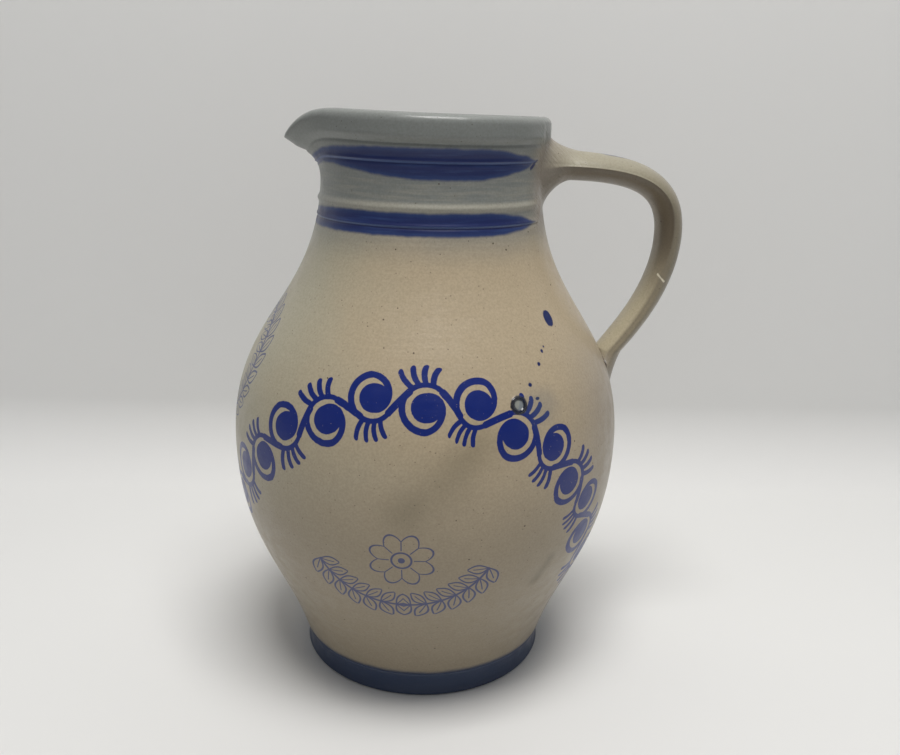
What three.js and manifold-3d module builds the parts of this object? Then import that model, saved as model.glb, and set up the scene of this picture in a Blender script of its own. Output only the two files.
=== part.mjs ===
// Salt-glazed stoneware jug of about three litres: a pear-shaped thrown body on a narrow foot, a turned
// neck and collar, a pulled pouring lip and a pulled strap handle, all fired together as one solid.
// Millimetres, +Z up. The origin is the centre of the flat underside. The handle lies towards +X and the
// pouring lip towards -X, and the jug is the same on both sides of the XZ plane.
import * as THREE from 'three';
import { mergeVertices } from 'three/addons/utils/BufferGeometryUtils.js';
import Module from 'manifold-3d';

const wasm = await Module();
wasm.setup();

// Body
const RIM_HEIGHT = 250;
const BELLY_RADIUS = 88;
const BELLY_HEIGHT = 109;
const BELLY_FULLNESS_BELOW = 46.2; // how far the curve runs straight down from the widest level
const BELLY_FULLNESS_ABOVE = 55.1; // and straight up from it
const WALL = 6;
const FLOOR = 8;
const FLOOR_CORNER = 14; // radius of the hollow's bottom corner

// Foot
const FOOT_RADIUS = 57.2;
const FOOT_HEIGHT = 13;
const FOOT_WAIST = 0.8; // how far the foot is drawn in between its lower edge and its top
const FOOT_FLARE = 1.3; // how far its top stands outside its lower edge
const FOOT_EDGE_ROUND = 1.5;
const FOOT_RISE_LEAN = 10.7; // sideways part of the curve that leaves the foot
const FOOT_RISE = 35.8; // upward part of it

// Neck, its turned lines and the collar, with levels counted down from the rim
const NECK_RADIUS = 48.2;
const NECK_LEVEL = 23; // where the neck is narrowest
const NECK_FULLNESS = 58; // how far the shoulder's curve runs straight down from there
const NECK_SPREAD = 1.4; // how far the neck opens again below the collar
const RIDGE_LEVEL = 34.8;
const RIDGE_PROUD = 0.8;
const RIDGE_WIDTH = 2.6;
const COLLAR_LEVEL = 10.9; // the groove under the collar
const COLLAR_PROUD = 3; // how far the collar stands outside the neck's narrowest level
const COLLAR_SLOPE = 3; // height over which it comes out
const LINE_DEPTH = 0.5; // turned lines, under the collar and round the foot
const LINE_WIDTH = 1.2;
const FOOT_LINE_DROP = 1.6; // from the foot's top down to its line
const LIP_THICKNESS = 7; // wall at the rim, rounded over

// The neck was pulled a little towards the handle, and the rim sits slightly higher on that side
const NECK_LEAN = 0.7;
const LEAN_START = 150;
const RIM_TILT_DEGREES = 0.4;

// Pouring lip
const LIP_REACH = 12; // how far its tip stands outside the collar
const LIP_DROP = 9.4; // how far its tip hangs below the rim beside it
const LIP_RISE = 2.8; // how far the rim beside it was pulled up
const LIP_REACH_SPREAD_DEGREES = 21; // half widths of the pulled part, as angles round the neck
const LIP_DROP_SPREAD_DEGREES = 13.7;
const LIP_RISE_SPREAD_DEGREES = 81;
const THROAT_LEVEL = 33.8; // where the throat starts, counted down from the rim
const THROAT_END = 15; // where its swing would level out, counted up from the rim
const THROAT_CURVE = 2.2; // how late the throat swings outwards
const LIP_THINNING = 1; // how much thinner the wall is at the tip

// Handle, with its levels counted down from the rim
const HANDLE_ROOT_LEVEL = 19.9; // middle of the upper root on the neck
const HANDLE_REACH = 61.8; // from the neck to the middle of the strap at its outermost level
const HANDLE_BEND_LEVEL = 49.9; // that outermost level
const HANDLE_TOP_RUN = 38; // how far the strap runs straight out of the neck
const HANDLE_BEND_ABOVE = 27; // how far the bend runs straight up and down from its outermost level
const HANDLE_BEND_BELOW = 28.7;
const HANDLE_LANDING_HEIGHT = 141.6; // middle of the lower root on the shoulder, above the underside
const HANDLE_LANDING_RUN = 9; // how far the strap runs straight into the shoulder
const HANDLE_LANDING_DEGREES = 56.6; // below the horizontal
const STRAP_WIDTH_TOP = 25.6;
const STRAP_WIDTH_BOTTOM = 20.8;
const STRAP_THICKNESS_TOP = 13.2;
const STRAP_THICKNESS_BOTTOM = 9.4;
const STRAP_EDGE = 1.35; // 1 gives an oval section, and more draws its sides to an edge

// The clay smeared on at each root: how much it adds at the wall, and how soon it fades along the strap
const UPPER_ROOT = { over: 6.5, overFade: 6, under: 11.5, underFade: 3.8, side: 5, sideFade: 6 };
const LOWER_ROOT = { over: 4.5, overFade: 6, under: 1, underFade: 3, side: 4, sideFade: 8 };

// Fineness
const COLUMNS = 60;
const COLUMN_GATHER = 0.4; // how much closer together the columns stand at the pouring lip
const OUTER_RINGS = 17; // between the foot's line and the ridge
const INNER_RINGS = 13; // from the lip down to the bottom corner
const LIP_STEPS = 6;
const CORNER_STEPS = 4;
const STRAP_STEPS = 44;
const STRAP_GATHER = 0.09; // how much closer together the strap's rings stand at its roots
const STRAP_SIDES = 18;

const CLAY = new THREE.MeshStandardMaterial({
  name: 'salt_glazed_stoneware',
  color: 0xb3aa9a,
  roughness: 0.35,
  metalness: 0,
});

// Helpers

const radians = THREE.MathUtils.degToRad;
const swell = (offset, spread) => Math.exp(-((offset / spread) ** 2));

// From 0 at low to 1 at high, level at both ends.
const ease = (value, low, high) => THREE.MathUtils.smoothstep(value, low, high);

// Evenly spaced values from one to the other, without the last.
function spaced(from, to, count) {
  return Array.from({ length: count }, (_, i) => from + ((to - from) * i) / count);
}

// Distance from the axis of a profile curve at a height. The height rises all the way along such a curve.
function radiusOnCurve(curve, height) {
  let low = 0;
  let high = 1;
  for (let halving = 0; halving < 40; halving++) {
    const middle = (low + high) / 2;
    if (curve.getPoint(middle).y < height) low = middle;
    else high = middle;
  }
  return curve.getPoint(low).x;
}

// A closed geometry as a solid. Triangles that shrink to a line at the axis are dropped.
function solidFrom(geometry) {
  geometry.deleteAttribute('normal');
  geometry.deleteAttribute('uv');
  const merged = mergeVertices(geometry, 1e-4);
  const kept = [];
  for (let i = 0; i < merged.index.count; i += 3) {
    const [a, b, c] = [0, 1, 2].map((k) => merged.index.getX(i + k));
    if (a !== b && b !== c && c !== a) kept.push(a, b, c);
  }
  return new wasm.Manifold(
    new wasm.Mesh({
      numProp: 3,
      vertProperties: new Float32Array(merged.attributes.position.array),
      triVerts: new Uint32Array(kept),
    }),
  );
}

// A solid as a geometry with flat faces.
function geometryFrom(solid) {
  const { vertProperties, triVerts } = solid.getMesh();
  const geometry = new THREE.BufferGeometry();
  geometry.setAttribute('position', new THREE.BufferAttribute(vertProperties, 3));
  geometry.setIndex(new THREE.BufferAttribute(triVerts, 1));
  const faceted = geometry.toNonIndexed();
  faceted.computeVertexNormals();
  return faceted;
}

// A lathe stands along Y in its own frame, and this stands it along Z.
function turned(profile) {
  return new THREE.LatheGeometry(profile, COLUMNS).rotateX(Math.PI / 2);
}

// Outer profile

const footTopRadius = FOOT_RADIUS + FOOT_FLARE;
const neckHeight = RIM_HEIGHT - NECK_LEVEL;
const collarHeight = RIM_HEIGHT - COLLAR_LEVEL;
const ridgeHeight = RIM_HEIGHT - RIDGE_LEVEL;
const lipRound = LIP_THICKNESS / 2;

const bellyCurve = new THREE.CubicBezierCurve(
  new THREE.Vector2(footTopRadius, FOOT_HEIGHT),
  new THREE.Vector2(footTopRadius + FOOT_RISE_LEAN, FOOT_HEIGHT + FOOT_RISE),
  new THREE.Vector2(BELLY_RADIUS, BELLY_HEIGHT - BELLY_FULLNESS_BELOW),
  new THREE.Vector2(BELLY_RADIUS, BELLY_HEIGHT),
);

const shoulderCurve = new THREE.CubicBezierCurve(
  new THREE.Vector2(BELLY_RADIUS, BELLY_HEIGHT),
  new THREE.Vector2(BELLY_RADIUS, BELLY_HEIGHT + BELLY_FULLNESS_ABOVE),
  new THREE.Vector2(NECK_RADIUS, neckHeight - NECK_FULLNESS),
  new THREE.Vector2(NECK_RADIUS, neckHeight),
);

// Radius of the clay before its turned lines.
function plainRadius(height) {
  if (height < FOOT_HEIGHT) {
    const up = height / FOOT_HEIGHT;
    return FOOT_RADIUS + FOOT_FLARE * up ** 2 - FOOT_WAIST * Math.sin(Math.PI * up);
  }
  if (height < BELLY_HEIGHT) return radiusOnCurve(bellyCurve, height);
  if (height < neckHeight) return radiusOnCurve(shoulderCurve, height);
  const spread = NECK_SPREAD * ((height - neckHeight) / (collarHeight - neckHeight)) ** 2;
  const collar = ease(height, collarHeight, collarHeight + COLLAR_SLOPE);
  return NECK_RADIUS + Math.min(spread, NECK_SPREAD) * (1 - collar) + COLLAR_PROUD * collar;
}

function outerRadius(height) {
  const ridge = RIDGE_PROUD * swell(height - ridgeHeight, RIDGE_WIDTH / 2);
  const collarLine = LINE_DEPTH * swell(height - collarHeight, LINE_WIDTH / 2);
  const footLine = LINE_DEPTH * swell(height - (FOOT_HEIGHT - FOOT_LINE_DROP), LINE_WIDTH / 2);
  return plainRadius(height) + ridge - collarLine - footLine;
}

// Heights where the outer wall has a ring of corners, closer together at the turned lines.
function outerHeights() {
  const footLine = FOOT_HEIGHT - FOOT_LINE_DROP;
  const lipStart = RIM_HEIGHT - lipRound;
  return [
    ...spaced(FOOT_EDGE_ROUND, footLine - LINE_WIDTH, 2),
    ...spaced(footLine - LINE_WIDTH, footLine + LINE_WIDTH, 3),
    ...spaced(footLine + LINE_WIDTH, ridgeHeight - RIDGE_WIDTH, OUTER_RINGS),
    ...spaced(ridgeHeight - RIDGE_WIDTH, ridgeHeight + RIDGE_WIDTH, 4),
    ...spaced(ridgeHeight + RIDGE_WIDTH, collarHeight - LINE_WIDTH, 4),
    ...spaced(collarHeight - LINE_WIDTH, collarHeight + LINE_WIDTH, 4),
    ...spaced(collarHeight + LINE_WIDTH, lipStart, 2),
  ];
}

// Vessel: the wall's whole section, from the middle of the underside up the outside, over the lip, down the
// inside and back to the axis

const point = (radius, height) => new THREE.Vector2(radius, height);

function lipPoints() {
  const middle = outerRadius(RIM_HEIGHT - lipRound) - lipRound;
  return spaced(0, Math.PI, LIP_STEPS).map((angle) =>
    point(middle + lipRound * Math.cos(angle), RIM_HEIGHT - lipRound + lipRound * Math.sin(angle)),
  );
}

// Wall thickness: WALL all the way up, swelling to the lip above the collar's line.
function wallAt(height) {
  return WALL + (LIP_THICKNESS - WALL) * ease(height, collarHeight, RIM_HEIGHT - lipRound);
}

function innerPoints() {
  const cornerTop = FLOOR + FLOOR_CORNER;
  const wall = spaced(RIM_HEIGHT - lipRound, cornerTop, INNER_RINGS).map((height) =>
    point(plainRadius(height) - wallAt(height), height),
  );
  const cornerRadius = plainRadius(cornerTop) - WALL;
  const corner = spaced(0, Math.PI / 2, CORNER_STEPS).map((angle) =>
    point(
      cornerRadius - FLOOR_CORNER * (1 - Math.cos(angle)),
      cornerTop - FLOOR_CORNER * Math.sin(angle),
    ),
  );
  return [...wall, ...corner, point(cornerRadius - FLOOR_CORNER, FLOOR), point(0, FLOOR)];
}

function vesselProfile() {
  return [
    point(0, 0),
    point(FOOT_RADIUS - FOOT_EDGE_ROUND, 0),
    ...outerHeights().map((height) => point(outerRadius(height), height)),
    ...lipPoints(),
    ...innerPoints(),
  ];
}

// How much a height takes part in the pull of the pouring lip. The rounded rim moves as one.
function throatShare(height) {
  const low = RIM_HEIGHT - THROAT_LEVEL;
  const high = RIM_HEIGHT + THROAT_END;
  const top = RIM_HEIGHT - lipRound;
  return ease(Math.min(height, top), low, high) / ease(top, low, high);
}

// Moves a point of the turned vessel as the potter's fingers moved it when they pulled the pouring lip, and
// as the neck leaned over when the handle was put on.
function pulled(position) {
  const radius = Math.hypot(position.x, position.y);
  const height = position.z;
  const even = Math.atan2(position.y, -position.x);
  const turn = even - COLUMN_GATHER * Math.sin(even);
  const angle = THREE.MathUtils.radToDeg(turn);
  const share = throatShare(height);
  const inside = ease(plainRadius(height) - radius, 0, wallAt(height));
  const reach = (LIP_REACH + LIP_THINNING * inside) * share ** THROAT_CURVE;
  const out = radius + reach * swell(angle, LIP_REACH_SPREAD_DEGREES);
  const rise = LIP_RISE * swell(angle, LIP_RISE_SPREAD_DEGREES);
  const drop = LIP_DROP * swell(angle, LIP_DROP_SPREAD_DEGREES);
  const leaning = ease(height, LEAN_START, neckHeight);
  const tilting = Math.tan(radians(RIM_TILT_DEGREES)) * ease(height, ridgeHeight, RIM_HEIGHT);
  const x = -out * Math.cos(turn);
  position.set(x + NECK_LEAN * leaning, out * Math.sin(turn), height + (rise - drop) * share + tilting * x);
}

function vesselSolid() {
  const geometry = turned(vesselProfile());
  const corners = geometry.attributes.position;
  const corner = new THREE.Vector3();
  for (let i = 0; i < corners.count; i++) {
    corner.fromBufferAttribute(corners, i);
    if (Math.hypot(corner.x, corner.y) > WALL) pulled(corner);
    corners.setXYZ(i, corner.x, corner.y, corner.z);
  }
  return solidFrom(geometry);
}

// Handle: a strap swept along a bent line in the XZ plane, each section a flattened oval with soft edges

function strapLine() {
  const rootHeight = RIM_HEIGHT - HANDLE_ROOT_LEVEL;
  const bend = new THREE.Vector2(NECK_RADIUS + HANDLE_REACH, RIM_HEIGHT - HANDLE_BEND_LEVEL);
  const landing = new THREE.Vector2(plainRadius(HANDLE_LANDING_HEIGHT), HANDLE_LANDING_HEIGHT);
  const slope = radians(HANDLE_LANDING_DEGREES);
  const run = new THREE.Vector2(Math.cos(slope), Math.sin(slope));
  const inside = landing.clone().addScaledVector(run, -WALL);
  const line = new THREE.CurvePath();
  const root = new THREE.Vector2(NECK_RADIUS, rootHeight);
  line.add(new THREE.LineCurve(new THREE.Vector2(NECK_RADIUS - WALL, rootHeight), root));
  line.add(
    new THREE.CubicBezierCurve(
      root,
      new THREE.Vector2(NECK_RADIUS + HANDLE_TOP_RUN, rootHeight),
      new THREE.Vector2(bend.x, bend.y + HANDLE_BEND_ABOVE),
      bend,
    ),
  );
  line.add(
    new THREE.CubicBezierCurve(
      bend,
      new THREE.Vector2(bend.x, bend.y - HANDLE_BEND_BELOW),
      landing.clone().addScaledVector(run, HANDLE_LANDING_RUN),
      landing,
    ),
  );
  line.add(new THREE.LineCurve(landing, inside));
  return line;
}

// How far a wall of this radius falls away behind its middle line.
const wallCurve = (radius, across) => radius - Math.sqrt(Math.max(radius ** 2 - across ** 2, 0));

// One ring of corners of the strap. Its outer face is `over`, the face towards the body is `under`. Towards
// each root the section opens out, loses its edges and wraps round the wall.
function strapRing(line, share) {
  const middle = line.getPointAt(share);
  const along = line.getTangentAt(share);
  const length = line.getLength();
  const fromNeck = Math.max(share * length - WALL, 0);
  const fromShoulder = Math.max((1 - share) * length - WALL, 0);
  const nearNeck = (side) => Math.exp(-fromNeck / UPPER_ROOT[`${side}Fade`]);
  const nearShoulder = (side) => Math.exp(-fromShoulder / LOWER_ROOT[`${side}Fade`]);
  const flare = (side) => UPPER_ROOT[side] * nearNeck(side) + LOWER_ROOT[side] * nearShoulder(side);
  const wrap = (across) =>
    wallCurve(NECK_RADIUS, across) * nearNeck('side') +
    wallCurve(plainRadius(HANDLE_LANDING_HEIGHT), across) * nearShoulder('side');
  const edge = THREE.MathUtils.lerp(STRAP_EDGE, 1, nearNeck('side') + nearShoulder('side'));
  const thickness = THREE.MathUtils.lerp(STRAP_THICKNESS_TOP, STRAP_THICKNESS_BOTTOM, share);
  const halfWidth = THREE.MathUtils.lerp(STRAP_WIDTH_TOP, STRAP_WIDTH_BOTTOM, share) / 2 + flare('side');
  const over = thickness / 2 + flare('over');
  const under = thickness / 2 + flare('under');
  const ring = [];
  for (let side = 0; side < STRAP_SIDES; side++) {
    const angle = (2 * Math.PI * side) / STRAP_SIDES;
    const sine = Math.sin(angle);
    const lift = Math.abs(sine) ** edge * (sine > 0 ? over : -under);
    const across = halfWidth * Math.cos(angle);
    ring.push(new THREE.Vector3(middle.x - along.y * lift - wrap(across), across, middle.y + along.x * lift));
  }
  return ring;
}

// A closed skin over rings that all have as many corners, with a fan on each end.
function loft(rings) {
  const sides = rings[0].length;
  const corners = rings.flat();
  const centreOf = (ring) => ring.reduce((sum, corner) => sum.add(corner), new THREE.Vector3()).divideScalar(sides);
  const first = corners.push(centreOf(rings[0])) - 1;
  const last = corners.push(centreOf(rings[rings.length - 1])) - 1;
  const faces = [];
  for (let side = 0; side < sides; side++) {
    const next = (side + 1) % sides;
    for (let ring = 0; ring < rings.length - 1; ring++) {
      const a = ring * sides + side;
      const b = ring * sides + next;
      faces.push(a, b, a + sides, b, b + sides, a + sides);
    }
    const end = (rings.length - 1) * sides;
    faces.push(first, next, side, last, end + side, end + next);
  }
  const geometry = new THREE.BufferGeometry().setFromPoints(corners);
  geometry.setIndex(faces);
  return geometry;
}

// What the strap may not reach into: everything inside the middle of the wall.
function coreSolid() {
  const heights = spaced(FLOOR, RIM_HEIGHT + HANDLE_ROOT_LEVEL, 24);
  const top = heights[heights.length - 1];
  const side = heights.map((height) => point(plainRadius(Math.min(height, RIM_HEIGHT)) - WALL / 2, height));
  return solidFrom(turned([point(0, FLOOR), ...side, point(0, top)]));
}

function handleSolid() {
  const line = strapLine();
  const gathered = (share) => share - STRAP_GATHER * Math.sin(2 * Math.PI * share);
  const rings = [...spaced(0, 1, STRAP_STEPS), 1].map((share) => strapRing(line, gathered(share)));
  return solidFrom(loft(rings)).subtract(coreSolid());
}

const jug = new THREE.Mesh(geometryFrom(vesselSolid().add(handleSolid())), CLAY);
jug.name = 'jug';

const part = new THREE.Group();
part.add(jug);

export default part;
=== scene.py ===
import math

import bmesh
import bpy
import numpy as np
from mathutils import Matrix, Vector, kdtree


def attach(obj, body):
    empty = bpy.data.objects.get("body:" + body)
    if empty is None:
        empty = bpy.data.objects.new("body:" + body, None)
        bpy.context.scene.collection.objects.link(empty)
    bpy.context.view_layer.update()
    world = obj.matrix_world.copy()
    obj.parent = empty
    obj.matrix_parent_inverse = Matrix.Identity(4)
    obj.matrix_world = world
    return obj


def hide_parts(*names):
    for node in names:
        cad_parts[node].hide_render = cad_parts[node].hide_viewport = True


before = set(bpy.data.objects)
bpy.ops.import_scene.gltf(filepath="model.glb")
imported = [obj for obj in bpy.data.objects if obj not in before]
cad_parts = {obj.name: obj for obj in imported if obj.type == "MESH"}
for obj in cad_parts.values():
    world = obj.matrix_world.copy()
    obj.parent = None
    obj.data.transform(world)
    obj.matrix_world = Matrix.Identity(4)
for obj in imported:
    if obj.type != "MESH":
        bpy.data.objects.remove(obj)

# Salt-glazed stoneware jug: one skin over the wall, the pouring lip, the inside and the handle, with the
# handle's roots smeared into the wall, and its blue painting and print as materials.
# The shapes are worked out in millimetres, +Z up, with the same values as the solid's source.

MILLIMETRE = 0.001

# Body
RIM_HEIGHT = 250
BELLY_RADIUS = 88
BELLY_HEIGHT = 109
BELLY_FULLNESS_BELOW = 46.2
BELLY_FULLNESS_ABOVE = 55.1
WALL = 6
FLOOR = 8
FLOOR_CORNER = 14

# Foot
FOOT_RADIUS = 57.2
FOOT_HEIGHT = 13
FOOT_WAIST = 0.8
FOOT_FLARE = 1.3
FOOT_EDGE_ROUND = 1.5
FOOT_RISE_LEAN = 10.7
FOOT_RISE = 35.8
FOOT_LINE_DROP = 1.6
BASE_HOLLOW = 0.8 # how far the underside is hollowed inside its standing ring
BASE_RING = 9 # how wide that ring is, with its bevel
BASE_BEVEL = [(1.5, 0.15), (3, 0)] # in from the hollow, and height

# Neck and collar
NECK_RADIUS = 48.2
NECK_HEIGHT = RIM_HEIGHT - 23
NECK_FULLNESS = 58
NECK_SPREAD = 1.4
COLLAR_HEIGHT = RIM_HEIGHT - 10.9
COLLAR_PROUD = 3
COLLAR_SLOPE = 3
LIP_THICKNESS = 7
NECK_LEAN = 0.7
LEAN_START = 150
RIM_TILT_DEGREES = 0.4

# Turned lines: height, how proud they stand and their half width
RIDGE_HEIGHT = RIM_HEIGHT - 34.8
TURNED_LINES = [
    (FOOT_HEIGHT - FOOT_LINE_DROP, -0.5, 0.6),
    (RIM_HEIGHT - 42.6, -0.35, 0.5),
    (RIM_HEIGHT - 41.5, 0.3, 0.6),
    (RIDGE_HEIGHT, 0.8, 1.3),
    (RIM_HEIGHT - 18.0, -0.3, 0.5),
    (RIM_HEIGHT - 17.1, 0.3, 0.6),
    (COLLAR_HEIGHT, -0.5, 0.6),
]
LINE_FADE_DEGREES = 26 # from the handle, where the clay of its roots covers them

# Pouring lip
LIP_REACH = 12
LIP_DROP = 9.4
LIP_RISE = 2.8
LIP_REACH_SPREAD_DEGREES = 21
LIP_DROP_SPREAD_DEGREES = 13.7
LIP_RISE_SPREAD_DEGREES = 81
THROAT_LEVEL = 33.8
THROAT_END = 15
THROAT_CURVE = 2.2
LIP_THINNING = 1

# Handle
HANDLE_ROOT_HEIGHT = RIM_HEIGHT - 19.9
HANDLE_REACH = 61.8
HANDLE_BEND_HEIGHT = RIM_HEIGHT - 49.9
HANDLE_TOP_RUN = 38
HANDLE_BEND_ABOVE = 27
HANDLE_BEND_BELOW = 28.7
HANDLE_LANDING_HEIGHT = 141.6
HANDLE_LANDING_RUN = 9
HANDLE_LANDING_DEGREES = 56.6
STRAP_WIDTH = (25.6, 20.8)
STRAP_THICKNESS = (13.2, 9.4)
STRAP_EDGE = 1.35

# Fineness
COLUMNS = 256
CENTRE_RING = 1 # radius of the smallest ring round the axis
BASE_ROWS = 12
CONTACT_STEPS = (4, 2, 0) # in from the foot's rounded edge
OUTER_ROWS = 196
INNER_ROWS = 44
CORNER_ROWS = 7
FLOOR_ROWS = 9
LIP_ROWS = 12
EDGE_ROWS = 4
CURVE_STEPS = 600
DENSITY_STEPS = 4000
LINE_CROWDING = (3.2, 2.2) # how much closer together rows stand at a turned line, and how far round it
COLLAR_CROWDING = (2, 3)
FOOT_CROWDING = (2, 2)
HANDLE_SIDES = 88
HANDLE_RINGS = 96
PATCH_RINGS = 5
PATCH_GROWTH = 4.0 # how far the rings round a root reach out over the wall
PATCH_MARGIN = 1.5 # least distance from there to the wall's own rows and columns
OVAL_STEPS = 721
FILLET_RINGS = 16


# Helpers


def ease(value, low, high):
    """From 0 at low to 1 at high, level at both ends."""
    share = np.clip((value - low) / (high - low), 0, 1)
    return share * share * (3 - 2 * share)


def swell(offset, spread):
    """A smooth hill, 1 at its middle."""
    return np.exp(-((offset / spread) ** 2))


def mix(start, end, share):
    return start + (end - start) * share


def bezier(corners, count=CURVE_STEPS):
    """Points on a Bezier curve with four corners."""
    share = np.linspace(0, 1, count)[:, None]
    a, b, c, d = np.array(corners, float)
    rest = 1 - share
    return rest**3 * a + 3 * rest**2 * share * b + 3 * rest * share**2 * c + share**3 * d


def spread_by(density, low, high, count):
    """Values from low to high, closer together where density is high, the ends included."""
    fine = np.linspace(low, high, DENSITY_STEPS)
    weight = density(fine)
    total = np.concatenate([[0], np.cumsum((weight[1:] + weight[:-1]) / 2)])
    return np.interp(np.linspace(0, total[-1], count), total, fine)


# Wall

FOOT_TOP_RADIUS = FOOT_RADIUS + FOOT_FLARE
BELLY_CURVE = bezier([
    (FOOT_TOP_RADIUS, FOOT_HEIGHT),
    (FOOT_TOP_RADIUS + FOOT_RISE_LEAN, FOOT_HEIGHT + FOOT_RISE),
    (BELLY_RADIUS, BELLY_HEIGHT - BELLY_FULLNESS_BELOW),
    (BELLY_RADIUS, BELLY_HEIGHT),
])
SHOULDER_CURVE = bezier([
    (BELLY_RADIUS, BELLY_HEIGHT),
    (BELLY_RADIUS, BELLY_HEIGHT + BELLY_FULLNESS_ABOVE),
    (NECK_RADIUS, NECK_HEIGHT - NECK_FULLNESS),
    (NECK_RADIUS, NECK_HEIGHT),
])


def plain_radius(height):
    """Radius of the clay before its turned lines."""
    up = np.clip(height / FOOT_HEIGHT, 0, 1)
    foot = FOOT_RADIUS + FOOT_FLARE * up**2 - FOOT_WAIST * np.sin(np.pi * up)
    belly = np.interp(height, BELLY_CURVE[:, 1], BELLY_CURVE[:, 0])
    shoulder = np.interp(height, SHOULDER_CURVE[:, 1], SHOULDER_CURVE[:, 0])
    opening = np.clip((height - NECK_HEIGHT) / (COLLAR_HEIGHT - NECK_HEIGHT), 0, 1)
    collar = ease(height, COLLAR_HEIGHT, COLLAR_HEIGHT + COLLAR_SLOPE)
    neck = NECK_RADIUS + NECK_SPREAD * opening**2 * (1 - collar) + COLLAR_PROUD * collar
    bands = [height < FOOT_HEIGHT, height < BELLY_HEIGHT, height < NECK_HEIGHT]
    return np.select(bands, [foot, belly, shoulder], neck)


def turned_lines(height, polar):
    """How proud the turned lines stand. The clay smeared on for the handle covers them."""
    proud = sum(depth * swell(height - level, width) for level, depth, width in TURNED_LINES)
    from_handle = np.degrees(np.arctan2(np.sin(polar), np.cos(polar)))
    covered = np.exp(-((from_handle / LINE_FADE_DEGREES) ** 4))
    return proud * (1 - covered * ease(height, BELLY_HEIGHT, HANDLE_LANDING_HEIGHT))


def wall_at(height):
    """Wall thickness, which swells to the lip above the collar's line."""
    return mix(WALL, LIP_THICKNESS, ease(height, COLLAR_HEIGHT, RIM_HEIGHT - LIP_THICKNESS / 2))


def pulled(radius, height, polar):
    """Where a point of the turned vessel went when the lip was pulled and the neck leaned over."""
    turn = np.pi - polar
    angle = np.degrees(np.arctan2(np.sin(turn), np.cos(turn)))
    low = RIM_HEIGHT - THROAT_LEVEL
    high = RIM_HEIGHT + THROAT_END
    top = RIM_HEIGHT - LIP_THICKNESS / 2
    share = ease(np.minimum(height, top), low, high) / ease(top, low, high)
    inside = ease(plain_radius(height) - radius, 0, wall_at(height))
    reach = (LIP_REACH + LIP_THINNING * inside) * share**THROAT_CURVE
    out = radius + reach * swell(angle, LIP_REACH_SPREAD_DEGREES)
    rise = LIP_RISE * swell(angle, LIP_RISE_SPREAD_DEGREES)
    drop = LIP_DROP * swell(angle, LIP_DROP_SPREAD_DEGREES)
    leaning = ease(height, LEAN_START, NECK_HEIGHT)
    tilting = math.tan(math.radians(RIM_TILT_DEGREES)) * ease(height, RIDGE_HEIGHT, RIM_HEIGHT)
    x = out * np.cos(polar)
    y = out * np.sin(polar)
    z = height + (rise - drop) * share + tilting * x
    return np.stack(np.broadcast_arrays(x + NECK_LEAN * leaning, y, z), -1)


def outer_wall(height, polar):
    """Points of the outer wall at a height before the pull and an angle from the handle."""
    return pulled(plain_radius(height) + turned_lines(height, polar), height, polar)


# Rows of the turned section, from the middle of the underside up the outside, over the lip and down the
# inside. Each gives radius and height.


def base_rows():
    """The underside, hollowed a little inside a standing ring, and its rounded edge."""
    ring = FOOT_RADIUS - FOOT_EDGE_ROUND
    flat = [(radius, BASE_HOLLOW) for radius in np.linspace(CENTRE_RING, ring - BASE_RING, BASE_ROWS)]
    bevel = [(ring - BASE_RING + step, level) for step, level in BASE_BEVEL]
    contact = [(ring - step, 0) for step in CONTACT_STEPS]
    edge = [
        (ring + FOOT_EDGE_ROUND * math.sin(angle), FOOT_EDGE_ROUND * (1 - math.cos(angle)))
        for angle in np.linspace(0, math.pi / 2, EDGE_ROWS + 2)[1:-1]
    ]
    return np.array(flat + bevel + contact + edge)


def outer_rows():
    """The outer wall, with rows closer together at the turned lines, the collar and the foot's top."""
    def density(height):
        crowded = [(level, LINE_CROWDING) for level, _, _ in TURNED_LINES]
        crowded.append((COLLAR_HEIGHT + COLLAR_SLOPE / 2, COLLAR_CROWDING))
        crowded.append((FOOT_HEIGHT, FOOT_CROWDING))
        return 1 + sum(more * swell(height - level, spread) for level, (more, spread) in crowded)

    heights = spread_by(density, FOOT_EDGE_ROUND, RIM_HEIGHT - LIP_THICKNESS / 2, OUTER_ROWS)
    return np.stack([plain_radius(heights), heights], -1)


def lip_rows():
    """The rounded rim, from outside to inside."""
    half = LIP_THICKNESS / 2
    level = RIM_HEIGHT - half
    middle = plain_radius(level) - half
    angles = np.linspace(0, np.pi, LIP_ROWS + 2)[1:-1]
    return np.stack([middle + half * np.cos(angles), level + half * np.sin(angles)], -1)


def inner_rows():
    """The inside: its wall, the rounded bottom corner and the floor."""
    corner_top = FLOOR + FLOOR_CORNER
    heights = np.linspace(RIM_HEIGHT - LIP_THICKNESS / 2, corner_top, INNER_ROWS)
    wall = np.stack([plain_radius(heights) - wall_at(heights), heights], -1)
    corner_radius = plain_radius(np.array(corner_top)) - WALL
    angles = np.linspace(0, np.pi / 2, CORNER_ROWS + 1)[1:]
    corner = np.stack([
        corner_radius - FLOOR_CORNER * (1 - np.cos(angles)),
        corner_top - FLOOR_CORNER * np.sin(angles),
    ], -1)
    radii = np.linspace(corner_radius - FLOOR_CORNER, CENTRE_RING, FLOOR_ROWS + 1)[1:]
    floor = np.array([(radius, FLOOR) for radius in radii])
    return np.concatenate([wall, corner, floor])


# Handle


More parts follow.
